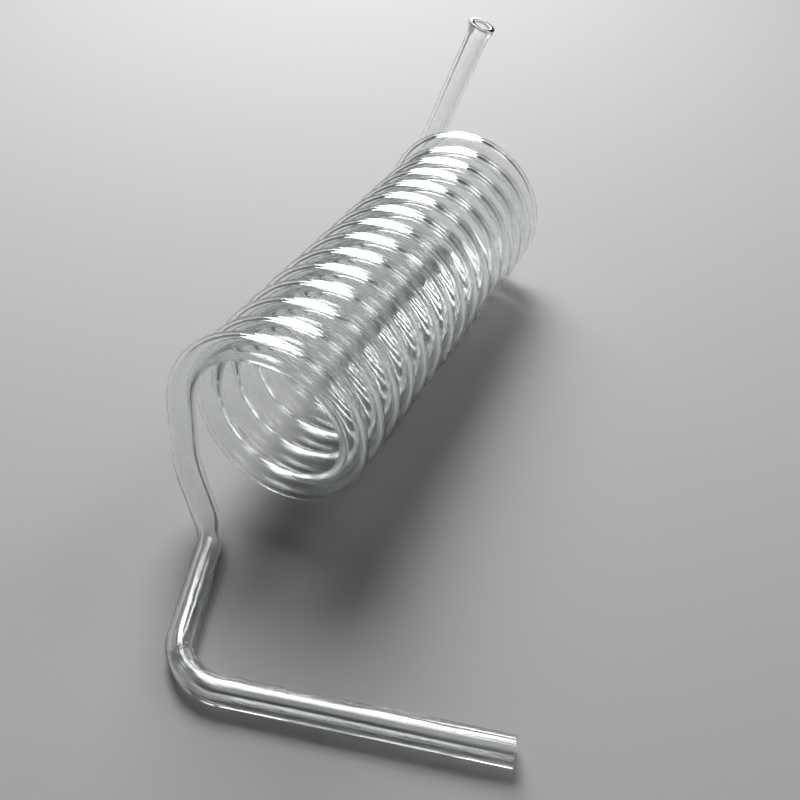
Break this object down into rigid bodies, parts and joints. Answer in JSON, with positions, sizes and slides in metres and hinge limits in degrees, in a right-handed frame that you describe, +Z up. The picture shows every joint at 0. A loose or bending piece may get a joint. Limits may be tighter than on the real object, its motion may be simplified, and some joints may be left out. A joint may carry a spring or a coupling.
{
  "type": "spiral glass diffuser",
  "caption": "Clear glass tube wound into a long open spiral, with a stem at each end: one bent into a straight arm, one ending in a flared lip.",
  "frame": {"origin": "middle of the part's bounding box, on the surface it lies on", "axes": "+Z up, +Y along the coil from its front stem to its back stem, +X the way the arm points"},
  "size_m": [0.1214, 0.2304, 0.0948],
  "materials": {
    "clear_glass": "clear, smooth drawn tube",
    "polished_rim": "clear, fire-polished"
  },
  "bodies": {
    "root": {"front_arm": "clear_glass", "front_elbow": "clear_glass", "front_runner": "clear_glass", "front_kink": "clear_glass", "front_slope": "clear_glass", "front_drop_bend": "clear_glass", "front_drop": "clear_glass", "coil_turn_01": "clear_glass", "coil_turn_02": "clear_glass", "coil_turn_03": "clear_glass", "coil_turn_04": "clear_glass", "coil_turn_05": "clear_glass", "coil_turn_06": "clear_glass", "coil_turn_07": "clear_glass", "coil_turn_08": "clear_glass", "coil_turn_09": "clear_glass", "coil_turn_10": "clear_glass", "coil_turn_11": "clear_glass", "coil_turn_12": "clear_glass", "coil_turn_13": "clear_glass", "coil_turn_14": "clear_glass", "coil_turn_15": "clear_glass", "rear_stem": "clear_glass", "rear_lip": "polished_rim"}
  },
  "joints": []
}
